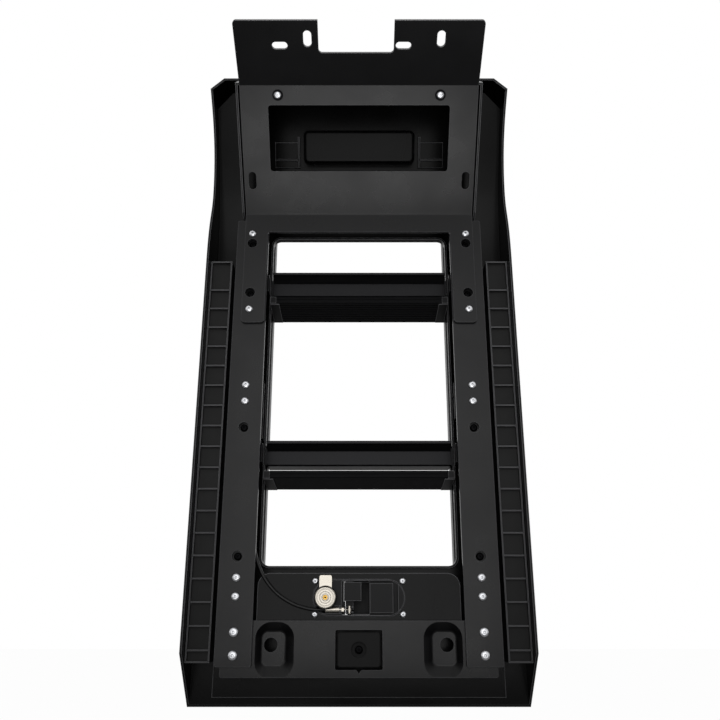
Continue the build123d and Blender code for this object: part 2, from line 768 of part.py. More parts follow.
def hinge_block():
    """Fixed half of one hinge: base on the rail's front and an ear through the front skin, right side."""
    ear_x0, ear_x1 = stile_in + stile + 0.8, stile_in + stile + 14.5
    base = block(rail_in, rail_out - 1, rail_front, skin_rear - face_gap, hinge_z - 19, hinge_z + 19)
    ear = block(ear_x0, ear_x1, skin_rear - 2, pivot_y, pivot_z - 13, pivot_z + 13)
    ear += rod(13.0, (ear_x0, pivot_y, pivot_z), (ear_x1, pivot_y, pivot_z))
    body = base + ear
    for z in block_bolts(hinge_z):
        body -= rod(bolt_r + thread_gap, (strap_x, rail_front - 1, z), (strap_x, rail_front + 11, z))
    return body - rod(pin_r + run_gap, (ear_x0 - 1, pivot_y, pivot_z), (ear_x1 + 1, pivot_y, pivot_z))


def hinge_pin():
    """Headed pivot pin, right side."""
    ear_x1 = stile_in + stile + 14.5
    pin = rod(pin_r, (stile_in, pivot_y, pivot_z), (ear_x1 + 1, pivot_y, pivot_z))
    head = rod(8.0, (ear_x1 + face_gap, pivot_y, pivot_z), (ear_x1 + 3.5, pivot_y, pivot_z))
    return pin + fillet(head.edges().filter_by(GeomType.CIRCLE).group_by(Axis.X)[-1], 1.0)


def guide_block():
    """Block behind the front skin with a mouth for the striker, right side."""
    body = block(bolt_axis_x - 7, rail_out - 1, rail_front, skin_rear - face_gap, latch_mid, latch_top)
    for z in block_bolts(latch_z):
        body -= rod(bolt_r + thread_gap, (strap_x, rail_front - 1, z), (strap_x, rail_front + 9.5, z))
    mouth = block(bolt_axis_x - 8, bolt_axis_x + tab_w / 2 + 0.6, stile_rear - tab_len - 1, skin_rear + 1,
                  tab_z - 1.5, tab_z + tab_h + 5)
    return body - mouth


def latch_body():
    """Left block with the bolt's bores, the spring chamber and the ear for the cable."""
    x = -bolt_axis_x
    body = mirror(guide_block(), about=Plane.YZ)
    body += block(x - 7, x + 7, rail_front + 4, skin_rear - face_gap, latch_low, latch_mid + 4)
    body += block(x - 4, x + 5, cable_top_y - 5, rail_front + 5, ear_z, ear_z + ear_t)
    body -= rod(latch_bolt_r + 0.1, (x, bolt_axis_y, bolt_foot), (x, bolt_axis_y, latch_top - 6))
    body -= rod(5.6, (x, bolt_axis_y, latch_low + seat_depth), (x, bolt_axis_y, tab_z - 8))
    body -= rod(2.7, (x, bolt_axis_y, latch_low - 1), (x, bolt_axis_y, latch_low + seat_depth + 1))
    body -= block(x - 2.6, x + 2.6, cable_top_y - 6, bolt_axis_y, ear_z + ear_t + 0.5, lug_z + lug_h + 4)
    return body - rod(2.5, (x, cable_top_y, ear_z - 1), (x, cable_top_y, ear_z + ear_t + 1))


def latch_bolt():
    """Spring bolt with its collar, stem and the lug that the cable pulls."""
    x = -bolt_axis_x
    tip = tab_z + tab_h + 2
    pin = rod(latch_bolt_r, (x, bolt_axis_y, bolt_foot), (x, bolt_axis_y, tip))
    pin = chamfer(pin.edges().sort_by(Axis.Z)[-1], 1.2)
    collar = rod(5.2, (x, bolt_axis_y, bolt_foot), (x, bolt_axis_y, bolt_foot + 6))
    stem = rod(2.4, (x, bolt_axis_y, latch_low - 2), (x, bolt_axis_y, bolt_foot))
    lug = block(x - 2.2, x + 2.2, cable_top_y - 2.5, bolt_axis_y, lug_z, lug_z + lug_h)
    return pin + collar + stem + lug - rod(wire_r + 0.1, (x, cable_top_y, lug_z - 1), (x, cable_top_y, lug_z + lug_h + 1))


def latch_spring():
    """Coil spring under the collar of the bolt, swept a quarter turn at a time."""
    bottom = latch_low + seat_depth + face_gap + spring_wire
    height = bolt_foot - face_gap - spring_wire - bottom
    count = 4 * spring_turns
    path = Helix(pitch=height / spring_turns, height=height / count, radius=spring_r)
    quarter = sweep(Plane(origin=path @ 0, z_dir=path % 0) * Circle(spring_wire), path=path, is_frenet=True)
    coil = quarter
    for i in range(1, count):
        coil += Pos(0, 0, i * height / count) * Rot(0, 0, 90 * i) * quarter
    return Pos(-bolt_axis_x, bolt_axis_y, bottom) * coil


def handle_base():
    """Base of the release handle: oblong rear, flange behind the panel's front, box with finger pocket."""
    y_panel = rear + panel_depth + wall
    body = panel(base_w, base_h, base_h / 2 - 0.01, base_rear, y_panel, 0, handle_z)
    body += panel(base_flange_w, base_flange_h - 3, 8.0, y_panel, y_panel + 3, 0, handle_z)
    body += panel(base_w + 2, base_flange_h - 6, 8.0, y_panel + 3, base_front, 0, handle_z)
    body -= panel(72, 42, 3.0, base_rear - 1, base_rear + 6, 14, handle_z)
    body += block(14, 43.5, base_rear - 1.5, base_rear + 7, handle_z - 18.5, handle_z + 17.5)
    body -= block(16.5, 41, base_rear + 1, base_front + 1, handle_z - 16, handle_z + 15)
    body -= block(-22, 13.5, base_rear - 1, base_front + 1, handle_z - 20.5, handle_z + 20.5)
    body -= block(13, 28, base_front - 6, base_front + 1, handle_z - 20.5, handle_z + 20.5)
    body += block(ferrule_end, ferrule_end + 3, base_rear - 1, base_rear + 7, handle_z + cable_z - 5, handle_z + cable_z + 5)
    body -= rod(2.5, (-30, cable_y, handle_z + cable_z), (-20, cable_y, handle_z + cable_z))
    groove = block(-70, ferrule_end, cable_y - 9, cable_y, handle_z + cable_z - 4.2, handle_z + cable_z + 4.2)
    groove += rod(4.2, (-70, cable_y, handle_z + cable_z), (ferrule_end, cable_y, handle_z + cable_z))
    body -= groove - block(-90, 0, y_panel, base_front, 0, 90)
    body -= rod(12.0, (lock_x, base_rear - 1, handle_z), (lock_x, base_rear + 3.5, handle_z))
    body -= rod(lock_r + 0.2, (lock_x, base_rear - 1, handle_z), (lock_x, base_front + 1, handle_z))
    body -= rod(pin_small_r + run_gap, (crank_x, crank_y, handle_z - 24), (crank_x, crank_y, handle_z + 24))
    for x, z in handle_screws_at():
        body -= rod(2.0 + thread_gap, (x, y_panel - 1, z), (x, y_panel + 12, z))
    return body


def paddle():
    """Pull flap on its vertical pin, with the crank that draws the cable."""
    zc = handle_z
    flap = block(-17, 24, base_front - 4, base_front, zc - 20, zc + 20)
    flap = fillet(flap.edges().filter_by(Axis.Z).group_by(Axis.Y)[-1], 1.5)
    hub = rod(5.0, (crank_x, crank_y, zc - 20), (crank_x, crank_y, zc + 20))
    neck = block(crank_x - 5, crank_x + 5, crank_y, base_front - 3, zc - 20, zc + 20)
    arm = block(-19, 3, base_rear - 0.5, crank_y - 3, zc - 4, zc + 19)
    web = block(crank_x - 5, crank_x + 5, base_rear + 4, crank_y, zc - 4, zc + 20)
    body = flap + hub + neck + arm + web
    for z0 in (cable_z - 4, cable_z + 2):
        ear = block(crank_x - 5, crank_x + 5, cable_y - 5, crank_y, zc + z0, zc + z0 + 2)
        body += ear
    body += block(crank_x - 5, crank_x + 5, cable_y + 5, crank_y, zc + cable_z, zc)
    way = block(crank_x - 3.2, crank_x + 3.2, cable_y - 3.4, cable_y, zc + cable_z - 6, zc + cable_z + 6)
    way += rod(3.2, (crank_x, cable_y, zc + cable_z - 6), (crank_x, cable_y, zc + cable_z + 6))
    way += rod(3.2, (crank_x, cable_y - 3.4, zc + cable_z - 6), (crank_x, cable_y - 3.4, zc + cable_z + 6))
    body -= way
    return body - rod(pin_small_r + run_gap, (crank_x, crank_y, zc - 30), (crank_x, crank_y, zc + 30))


def cable_points():
    """Corners of the cable's route, from the handle up behind the left strap to the latch."""
    y, top = cable_y, cable_top_y
    x = -bolt_axis_x
    z = handle_z + cable_z
    return [(ferrule_x, y, z), (-60, y, z), (-82, y, 47.5), (-104, y, 60), (-122, y, 80), (-133, y, 105),
            (-139.5, y, 135), (x, y, 168), (x, y, 196), (x, y + 5, 224), (x, top - 3.5, 246), (x, top, 264),
            (x, top, ear_z - ferrule_len)]


def cable_sheath():
    """Sheath of the release cable along its route."""
    points = [Vector(*p) for p in cable_points()]
    radii = []
    for a, b, c in zip(points, points[1:], points[2:]):
        turn = math.radians((b - a).get_angle(c - b))
        radii.append(0.45 * min((b - a).length, (c - b).length) / math.tan(turn / 2))
    print("cable radii", [round(r) for r in radii])
    path = FilletPolyline(*points, radius=radii)
    section = Plane(origin=points[0], z_dir=points[1] - points[0]) * Circle(cable_r)
    tube = sweep(section, path=path)
    length = path.length
    print("cable length", round(length, 1), "volume ratio", round(tube.volume / (math.pi * cable_r ** 2 * length), 4))
    return tube


def cable_ferrules():
    """Metal ends of the sheath: one in the handle's groove, one in the latch's ear."""
    z = handle_z + cable_z
    first = rod(ferrule_r, (ferrule_x, cable_y, z), (ferrule_end, cable_y, z))
    first += rod(2.3, (ferrule_end, cable_y, z), (ferrule_end + 7, cable_y, z))
    first -= rod(wire_r + 0.2, (ferrule_x + 1.4, cable_y, z), (ferrule_end + 15, cable_y, z))
    nut = extrude(Plane(origin=(ferrule_end + 3, cable_y, z), z_dir=(1, 0, 0)) * RegularPolygon(4.2, 6), amount=3)
    nut -= rod(2.35, (ferrule_end + 2, cable_y, z), (ferrule_end + 7, cable_y, z))
    x, y = -bolt_axis_x, cable_top_y
    last = rod(3.5, (x, y, ear_z - ferrule_len), (x, y, ear_z))
    last += rod(2.4, (x, y, ear_z), (x, y, ear_z + ear_t + 1))
    last -= rod(wire_r + 0.2, (x, y, ear_z - ferrule_len + 1.4), (x, y, ear_z + ear_t + 3))
    return group([first, nut, last])


def cable_core():
    """Bare wire between the sheath's end and the barrel in the crank."""
    z = handle_z + cable_z
    return rod(wire_r, (ferrule_x + 1.9, cable_y, z), (crank_x - barrel_r, cable_y, z))


def cable_barrel():
    """Cross barrel on the wire's end, held in the crank's fork."""
    z = handle_z + cable_z
    return rod(barrel_r, (crank_x, cable_y, z - 4.5), (crank_x, cable_y, z + 4.5))


def latch_wire():
    """Wire end at the latch, from the ferrule up through the bolt's lug."""
    x, y = -bolt_axis_x, cable_top_y
    top = lug_z + lug_h
    return rod(wire_r, (x, y, ear_z + ear_t + 0.7), (x, y, top + 1.5)) + rod(1.8, (x, y, top), (x, y, top + 3))


def lock_parts():
    """Lock cylinder, its nut, the brass plug and the cam with its drum."""
    z = handle_z

    def ring(outer, inner, y0, y1):
        return rod(outer, (lock_x, y0, z), (lock_x, y1, z)) - rod(inner, (lock_x, y0 - 1, z), (lock_x, y1 + 1, z))

    body = ring(lock_r, plug_r + 0.1, rear + 7, base_front + 2)
    body += ring(11.5, plug_r + 0.1, base_front, base_front + 2)
    nut_plane = Plane(origin=(lock_x, base_rear + 3.5, z), x_dir=(1, 0, 0), z_dir=(0, -1, 0))
    nut = extrude(nut_plane * RegularPolygon(11.2, 6), amount=4.3) - rod(lock_r + thread_gap, (lock_x, rear, z),
                                                                    (lock_x, rear + 20, z))
    drum = rod(drum_r, (lock_x, rear - 3, z), (lock_x, rear + 4, z))
    drum = chamfer(drum.edges().sort_by(Axis.Y)[0], 1.2)
    drum -= ring(11.0, 9.6, rear - 4, rear - 2.2)
    drum -= ring(7.6, 6.4, rear - 4, rear - 2.2)
    arm = panel(cam_w, cam_up + cam_w / 2, 2.5, rear + 3.5, rear + 6, lock_x, z + (cam_up - cam_w / 2) / 2)
    cam = drum + arm - rod(plug_r + thread_gap, (lock_x, rear - 9, z), (lock_x, rear + 9, z))
    plug = rod(plug_r, (lock_x, rear - 3.6, z), (lock_x, base_front + 2.2, z))
    plug -= block(lock_x - 0.6, lock_x + 0.6, base_front - 8, base_front + 3, z - 3, z + 3)
    return body, nut, plug, cam


def build():
    """Makes every node and writes its file."""
    right_strap, right_rail, right_strip = strap(), rail(), rib_strip()
    for name, piece in (("strap", right_strap), ("rail", right_rail), ("rib_strip", right_strip),
                        ("hinge_block", hinge_block()), ("hinge_pin", hinge_pin()), ("stile", ladder_stile()),
                        ("hinge_lug", hinge_lug()), ("stile_cap", stile_cap())):
        right, left = both(piece)
        save(right, "right_" + name)
        save(left, "left_" + name)
    save(roof_bracket(), "roof_bracket")
    save(housing(), "housing")
    save(cross_plate(), "cross_plate")
    save(centre_bumper(), "centre_bumper")
    save(fixed_rung(rung_low), "lower_rung")
    save(fixed_rung(rung_low + rung_pitch), "upper_rung")
    save(rung_brackets(), "rung_brackets")
    save(rung_screws(), "rung_screws")
    save(tread(0), "lower_tread")
    save(tread(rung_pitch), "upper_tread")
    save(group(both(tread_end(0))), "lower_tread_ends")
    save(group(both(tread_end(rung_pitch))), "upper_tread_ends")
    save(striker(False), "right_striker")
    save(mirror(striker(True), about=Plane.YZ), "left_striker")
    save(guide_block(), "guide_block")
    save(latch_body(), "latch_body")
    save(latch_bolt(), "latch_bolt")
    save(latch_spring(), "latch_spring")
    save(handle_base(), "handle_base")
    save(paddle(), "paddle")
    save(rod(pin_small_r, (crank_x, crank_y, handle_z - 23.5), (crank_x, crank_y, handle_z + 23.5)), "paddle_pin")
    for name, piece in zip(("lock_body", "lock_nut", "lock_plug", "lock_cam"), lock_parts()):
        save(piece, name)
    save(cable_sheath(), "cable_sheath")
    save(cable_ferrules(), "cable_ferrules")
    save(cable_core(), "cable_core")
    save(cable_barrel(), "cable_barrel")
    save(latch_wire(), "latch_wire")
    fasteners()


def fasteners():
    """Groups of like bolts and screws."""
    y0 = rear
    bolts = [b for z in bracket_bolt_z for b in both(button_bolt(strap_x, rear - bracket_t, z, bracket_t + strap_t + 7))]
    save(group(bolts), "bracket_bolts")
    zs = block_bolts(latch_z) + block_bolts(hinge_z)
    save(group([b for z in zs for b in both(button_bolt(strap_x, y0, z, strap_t + rail_d + 8))]), "block_bolts")
    foot = [b for z in cross_bolt_z for b in both(button_bolt(strap_x, y0, z, strap_t + plate_t + 4, head_r=cross_head_r))]
    save(group(foot), "cross_plate_bolts")
    dark = [b for z in house_screw_z
            for b in both(button_bolt(strap_x, rail_rear, z, rail_d + 12, head_r=screw_head_r, shank_r=screw_r))]
    save(group(dark), "housing_screws")
    small = [button_bolt(x, rear + panel_depth, z, wall + 8, head_r=4.2, shank_r=2.0) for x, z in handle_screws_at()]
    save(group(small), "handle_screws")
    save(button_bolt(0, rear + strap_t + 2, cut_z, bumper_t + 8, head_r=5.0, shank_r=2.0), "bumper_screw")
    washers, screws = [], []
    inward = (0, math.cos(lean), math.sin(lean))
    for side in (-1, 1):
        seat = lean_plane * Pos(side * top_screw_x, top_screw_s)
        ring = extrude(seat * Circle(7.5), amount=1.2) - extrude(seat * Circle(bolt_hole_r), amount=1.2)
        washers.append(ring)
        at = seat.position + Vector(*inward) * -1.2
        screws.append(button_bolt(at.X, at.Y, at.Z, bracket_t + 14, direction=inward))
    save(group(washers), "top_washers")
    save(group(screws), "top_screws")


build()
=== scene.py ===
"""Side ladder seen from the vehicle side: finishes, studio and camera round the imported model."""
import math

import bpy
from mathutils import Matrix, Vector


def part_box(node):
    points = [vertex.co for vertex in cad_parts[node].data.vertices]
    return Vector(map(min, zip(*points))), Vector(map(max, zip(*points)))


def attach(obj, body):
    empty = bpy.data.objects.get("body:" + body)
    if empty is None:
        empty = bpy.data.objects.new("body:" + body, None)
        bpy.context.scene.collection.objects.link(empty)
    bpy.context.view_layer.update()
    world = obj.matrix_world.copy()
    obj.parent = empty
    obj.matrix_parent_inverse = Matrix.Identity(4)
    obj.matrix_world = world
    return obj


bl_info = {
    "name": "Side Ladder",
    "version": (1, 0, 0),
    "blender": (4, 5, 0),
    "location": "View3D > Sidebar > Side Ladder",
    "description": "Finishes a vehicle side ladder and sets it in a plain studio",
    "category": "Object",
}

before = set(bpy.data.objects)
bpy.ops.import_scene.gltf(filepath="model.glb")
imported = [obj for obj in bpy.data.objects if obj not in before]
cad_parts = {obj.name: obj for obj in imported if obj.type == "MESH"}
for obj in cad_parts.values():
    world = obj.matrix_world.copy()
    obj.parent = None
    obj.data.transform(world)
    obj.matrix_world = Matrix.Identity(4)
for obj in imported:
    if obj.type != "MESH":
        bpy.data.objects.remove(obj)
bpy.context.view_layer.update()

MM = 0.001
FLOOR_SIZE = 24  # wide enough that its edge lies on the horizon
CARD_HEIGHT = -0.07  # of the low lamps that the leaning plate and the cross plate mirror, below the camera's view
SOCKET_SHADE = 0.06  # brightness of the painted shade in sockets and grooves as a share of the metal's own colour
SOCKET_SHADE_REACH = 2.2 * MM  # half the width of a socket or groove that the painted shade fills

# Each lamp's name, width and length, place, target, and the studio setting that holds its radiance.
LAMPS = (
    ("front_wall", (1.2, 1.45), (0, -1.9, 0.65), (0, 0, 0.65), "front"),
    ("sweep", (0.9, 0.72), (0, -1.53, CARD_HEIGHT), (0, -1.53, 1), "front"),
    ("low_card", (0.76, 0.56), (0, -0.84, CARD_HEIGHT), (0, -0.84, 1), "card"),
    ("overhead", (0.8, 0.5), (0, 0.1, 2.0), (0, 0, 0), "top"),
)


def linear(code):
    """An sRGB hex value as linear red, green, blue and an alpha of 1."""
    channels = [int(code[i:i + 2], 16) / 255 for i in (0, 2, 4)]
    return tuple(c / 12.92 if c <= 0.04045 else ((c + 0.055) / 1.055) ** 2.4 for c in channels) + (1.0,)


def colour(name, code, description):
    """A colour property whose default is an sRGB hex value."""
    return bpy.props.FloatVectorProperty(name=name, description=description, subtype="COLOR", size=4, min=0, max=1,
                                         default=linear(code))


def length(name, size, description):
    """A length property in metres, whose default is given in millimetres."""
    return bpy.props.FloatProperty(name=name, description=description, default=size * MM, min=0, subtype="DISTANCE",
                                   unit="LENGTH")


def share(name, value, description):
    """A property from 0 to 1."""
    return bpy.props.FloatProperty(name=name, description=description, default=value, min=0, max=1, subtype="FACTOR")


class LadderFinishes(bpy.types.PropertyGroup):
    """Colours and grain sizes of the ladder's finishes."""

    coat: colour("Powder coat", "070708", "Colour of the coated steel")
    coat_peel: length("Orange peel", 1.6, "Distance between the ripples of the powder coat")
    coat_roughness: share("Coat roughness", 0.29, "Roughness of the powder coat")
    coat_gloss: share("Coat gloss", 0.2, "How strongly the powder coat mirrors")
    shell: colour("Housing", "020202", "Colour of the moulded housing")
    shell_roughness: share("Housing roughness", 0.24, "Roughness of the moulded housing")
    shell_gloss: share("Housing gloss", 0.095, "How strongly the moulded housing mirrors")
    # The two rim colours and the rim width below paint highlights: paler colour over the last stretch before convex
    # edges, in place of the glints that these edges catch.
    rim: colour("Moulded rims", "6C6C6E", "Colour of the outer edges of mouldings, polished by handling")
    coat_rim_highlight: colour("Coated rims", "333335", "Colour of the edges of coated steel, where the powder lies thin")
    rim_highlight_width: length("Rim width", 1.4, "How far a rim reaches from its edge")
    strip: colour("Rib strips", "1A1A1A", "Colour of the ribbed strips")
    anodising: colour("Anodising", "1C1C1D", "Colour of the black anodised rungs, treads and stiles")
    die_line: length("Die lines", 0.8, "Distance between the lines that extruding leaves")
    tread: colour("Treads", "0B0B0C", "Colour of the dull treads")
    nylon: colour("Nylon", "080809", "Colour of the moulded handle, lugs and brackets")
    rubber: colour("Rubber", "0A0A0A", "Colour of the end caps and the bumper")
    zinc: colour("Zinc plating", "C2C3C6", "Colour of the bolts, pins and springs")
    black_zinc: colour("Black zinc", "0C0C0D", "Colour of the sunk screws")
    nickel: colour("Nickel plating", "A39E95", "Colour of the lock and the cable ends")
    brass: colour("Brass", "C79F52", "Colour of the lock's plug")
    sheath: colour("Cable sheath", "0A0A0B", "Colour of the release cable")


class HandleDetails(bpy.types.PropertyGroup):
    """Sizes of the lips round the pull flap and of the rings on the lock."""

    lip_reach: length("Lip reach", 3.1, "How far the hole's lip starts to the left of the crank")
    lip_gap: length("Lip gap", 0.3, "Gap between the hole's lip and the crank")
    lip_front: length("Lip front", 9.8, "Distance of the lip's near face from the crank's near side")
    lip_depth: length("Lip depth", 2.6, "Depth of the hole's lip")
    lip_over: length("Lip overlap", 0.4, "How far the hole's lip runs past the flap at each end")
    step_drop: length("Step drop", 4.4, "Distance of the lip's step below the flap's middle")
    step_width: length("Step width", 1.95, "How much wider the lip is below its step")
    lip_round: length("Lip rounding", 0.35, "Rounding of the hole's lip")
    flap_inset: length("Flap lip inset", 4, "Distance of the flap's lips from its left end")
    flap_end: length("Flap lip end", 1, "Distance of the flap's lips from its right end")
    flap_depth: length("Flap lip depth", 3.3, "Depth of the flap's lips")
    flap_back: length("Flap lip back", 0.4, "Distance of the flap's lips behind its front face")
    flap_sunk: length("Flap lip sunk", 0.2, "How deep the flap's lips sit in the flap")
    flap_rise: length("Flap lip rise", 0.42, "How far the flap's lips stand above and below it")
    flap_round: length("Flap lip rounding", 0.15, "Rounding of the flap's lips")
    seal_radius: length("Seal radius", 13.9, "Radius of the seal round the lock's drum")
    seal_wire: length("Seal thickness", 0.55, "Half the thickness of the seal")
    seal_depth: length("Seal depth", 6.1, "Distance of the seal behind the plug's face")
    collar_radius: length("Collar radius", 3.75, "Radius of the collar round the plug")
    collar_wire: length("Collar thickness", 0.85, "Half the width of the collar")
    collar_depth: length("Collar depth", 0.1, "Distance of the collar's middle behind the plug's face")
    rim_radius: length("Plug rim radius", 2.2, "Radius of the rim on the plug")
    rim_wire: length("Plug rim thickness", 0.4, "Half the width of the plug's rim")
    # The socket sizes below shape a dark six-sided disc on the plug's face, painted shade in place of the plug's
    # socket.
    socket_radius: length("Socket radius", 1.3, "Radius over the corners of the plug's socket")
    socket_depth: length("Socket depth", 0.3, "Thickness of the socket's dark floor")
    socket_proud: length("Socket rise", 0.05, "How far the middle of that floor stands off the plug's face")
    socket_round: length("Socket rounding", 0.08, "Rounding of the socket's floor")


class StudioSettings(bpy.types.PropertyGroup):
    """Camera and light of the studio."""

    distance: length("Camera distance", 1026, "Distance of the camera in front of the fixing plane")
    height: length("Camera height", 34, "Height of the camera over the fixing holes")
    aside: length("Camera aside", 1.4, "Distance of the camera to the right of the middle")
    tilt: bpy.props.FloatProperty(name="Tilt", description="Angle of the camera above the horizon",
                                  default=math.radians(18.5), subtype="ANGLE", unit="ROTATION")
    lens: bpy.props.FloatProperty(name="Lens", description="Focal length on a 36 mm sensor", default=38.3, min=1,
                                  subtype="DISTANCE_CAMERA", unit="CAMERA")
    floor: colour("Floor", "8C8C8C", "Colour of the floor in the light that it throws back")
    glow: share("Floor glow", 0.975, "Share of the floor's white in the picture that no shadow darkens")
    mirrored: share("Floor in mirrors", 0.2, "Share of the floor's white that shows in metal and glass")
    ambient: bpy.props.FloatProperty(name="Ambient", description="Strength of the even light from all round",
                                     default=0.3, min=0)
    front: bpy.props.FloatProperty(name="Front wall", description="Radiance of the wall and sweep behind the camera",
                                   default=1.6, min=0)
    card: bpy.props.FloatProperty(name="Low card", description="Radiance of the card below the camera", default=4.3,
                                  min=0)
    top: bpy.props.FloatProperty(name="Top light", description="Radiance of the softbox overhead", default=1.5, min=0)


def add_node(tree, kind, settings=None, **inputs):
    """Adds a shader node, sets its attributes, and fills each named input with a value or an output socket."""
    node = tree.nodes.new(kind)
    for key, value in (settings or {}).items():
        setattr(node, key, value)
    for key, value in inputs.items():
        numbered = key[0] == "i" and key[1:].isdigit()
        socket = node.inputs[int(key[1:]) if numbered else key.replace("_", " ")]
        if isinstance(value, bpy.types.NodeSocket):
            tree.links.new(value, socket)
        else:
            socket.default_value = value
    return node


def new_material(name):
    """An empty node material with its output node."""
    material = bpy.data.materials.new(name)
    material.use_nodes = True
    tree = material.node_tree
    tree.nodes.clear()
    return material, tree, tree.nodes.new("ShaderNodeOutputMaterial")


def shade(tree, output, normal=None, **inputs):
    """Ends a material with a principled shader."""
    shader = add_node(tree, "ShaderNodeBsdfPrincipled", **inputs)
    if normal is not None:
        tree.links.new(normal, shader.inputs["Normal"])
    tree.links.new(shader.outputs["BSDF"], output.inputs["Surface"])
    return shader


def object_noise(tree, spacing, stretch=(1, 1, 1), detail=2.0, roughness=0.5):
    """Noise over the object whose grains lie about spacing apart, drawn out along the axes by stretch."""
    place = add_node(tree, "ShaderNodeTexCoord").outputs["Object"]
    mapping = add_node(tree, "ShaderNodeMapping", Vector=place, Scale=tuple(1 / (spacing * s) for s in stretch))
    return add_node(tree, "ShaderNodeTexNoise", Vector=mapping.outputs["Vector"], Scale=1.0, Detail=detail,
                    Roughness=roughness).outputs["Fac"]


def between(tree, value, low, high):
    """Maps a value that runs from about 0.3 to 0.7 to the range from low to high."""
    return add_node(tree, "ShaderNodeMapRange", i0=value, i1=0.3, i2=0.7, i3=low, i4=high).outputs["Result"]


def tint(tree, base, factor, gain):
    """Lightens or darkens a colour a little, as far as gain at a factor of 1."""
    strong = tuple(min(1.0, c * gain) for c in base[:3]) + (1.0,)
    mix = add_node(tree, "ShaderNodeMix", {"data_type": "RGBA"}, i0=factor, i6=tuple(base), i7=strong)
    return mix.outputs[2]


def rounded(tree, radius, bumps=None, height=0.0):
    """Normal with edges rounded to the radius, over which a bump pattern of the given height lies."""
    edge = add_node(tree, "ShaderNodeBevel", {"samples": 4}, Radius=radius).outputs["Normal"]
    if bumps is None:
        return edge
    bump = add_node(tree, "ShaderNodeBump", Height=bumps, Distance=height, Strength=1.0, Normal=edge)
    return bump.outputs["Normal"]


def painted_edge_highlight(tree, base, rim, reach):
    """Painted highlight: colour that runs from the base to the rim colour over the last reach before a convex edge,
    in place of the glint that the edge catches.
    """
    edge = add_node(tree, "ShaderNodeAmbientOcclusion", {"samples": 8, "inside": True, "only_local": True},
                    Distance=reach).outputs["AO"]
    factor = add_node(tree, "ShaderNodeMapRange", i0=edge, i1=0.95, i2=0.55, i3=0.0, i4=1.0).outputs["Result"]
    mix = add_node(tree, "ShaderNodeMix", {"data_type": "RGBA"}, i0=factor, i7=tuple(rim))
    if isinstance(base, bpy.types.NodeSocket):
        tree.links.new(base, mix.inputs[6])
    else:
        mix.inputs[6].default_value = tuple(base)
    return mix.outputs[2]


def powder_coated_steel(look):
    """Baked polyester powder on steel: a satin skin with faint orange peel and painted highlights along its edges."""
    material, tree, output = new_material("powder_coated_steel")
    peel = object_noise(tree, look.coat_peel, detail=1.0)
    cloud = object_noise(tree, 60 * MM, detail=3.0)
    skin = tint(tree, look.coat, between(tree, cloud, 0, 1), 1.25)
    shade(tree, output, rounded(tree, 0.6 * MM, peel, 0.03 * MM),
          Base_Color=painted_edge_highlight(tree, skin, look.coat_rim_highlight, look.rim_highlight_width),
          Roughness=between(tree, cloud, look.coat_roughness - 0.04, look.coat_roughness + 0.05),
          Specular_IOR_Level=look.coat_gloss)
    return material


def moulded_abs(look):
    """Injection moulded ABS with a fine spark-eroded texture: deep black, with a soft sheen on its edges."""
    material, tree, output = new_material("moulded_abs")
    grain = object_noise(tree, 0.9 * MM, detail=2.0)
    flow = object_noise(tree, 120 * MM, stretch=(1, 1, 3), detail=2.0)
    shade(tree, output, rounded(tree, 1.8 * MM, grain, 0.02 * MM),
          Base_Color=painted_edge_highlight(tree, look.shell, look.rim, look.rim_highlight_width),
          Roughness=between(tree, flow, look.shell_roughness - 0.05, look.shell_roughness + 0.07),
          Specular_IOR_Level=look.shell_gloss)
    return material


def polypropylene(look):
    """Moulded polypropylene of the rib strips: matte, greyer than the housing, with painted highlights on the edges
    of the ribs.
    """
    material, tree, output = new_material("polypropylene")
    grain = object_noise(tree, 0.7 * MM, detail=2.0)
    cloud = between(tree, object_noise(tree, 30 * MM), 0, 1)
    shade(tree, output, rounded(tree, 0.4 * MM, grain, 0.03 * MM),
          Base_Color=painted_edge_highlight(tree, tint(tree, look.strip, cloud, 1.2), look.rim, look.rim_highlight_width), Roughness=0.6,
          Specular_IOR_Level=0.17)
    return material


def anodised_aluminium(look):
    """Extruded aluminium, black anodised: die lines along the bar and a satin metal sheen."""
    material, tree, output = new_material("anodised_aluminium")
    lines = object_noise(tree, look.die_line, stretch=(120, 1, 1), detail=2.0)
    shade(tree, output, rounded(tree, 0.5 * MM, lines, 0.015 * MM),
          Base_Color=tint(tree, look.anodising, between(tree, lines, 0, 1), 1.3), Metallic=0.75,
          Roughness=between(tree, lines, 0.34, 0.46), Specular_IOR_Level=0.12)
    return material


def hard_anodised(look):
    """Ribbed treads with a thick, dull anodised layer that hardly mirrors, even at a low angle."""
    material, tree, output = new_material("hard_anodised_aluminium")
    dust = object_noise(tree, 3 * MM, stretch=(6, 1, 1), detail=3.0)
    shade(tree, output, rounded(tree, 0.4 * MM), Base_Color=tint(tree, look.tread, between(tree, dust, 0, 1), 1.4),
          Roughness=0.6, Specular_IOR_Level=0.05)
    return material


def filled_nylon(look):
    """Glass-filled nylon: dry black with a faint speckle where the fibres reach the surface, and painted highlights
    along its edges.
    """
    material, tree, output = new_material("filled_nylon")
    speck = object_noise(tree, 0.5 * MM, detail=3.0, roughness=0.7)
    skin = tint(tree, look.nylon, between(tree, speck, 0, 1), 1.6)
    shade(tree, output, rounded(tree, 0.6 * MM, speck, 0.02 * MM),
          Base_Color=painted_edge_highlight(tree, skin, look.rim, 0.7 * look.rim_highlight_width),
          Roughness=between(tree, speck, 0.45, 0.62), Specular_IOR_Level=0.17)
    return material


def moulded_rubber(look):
    """Moulded rubber: dull black with a soft bloom."""
    material, tree, output = new_material("moulded_rubber")
    bloom = object_noise(tree, 4 * MM, detail=3.0)
    shade(tree, output, rounded(tree, 1.0 * MM, bloom, 0.04 * MM),
          Base_Color=tint(tree, look.rubber, between(tree, bloom, 0, 1), 1.5), Roughness=0.7,
          Specular_IOR_Level=0.2)
    return material


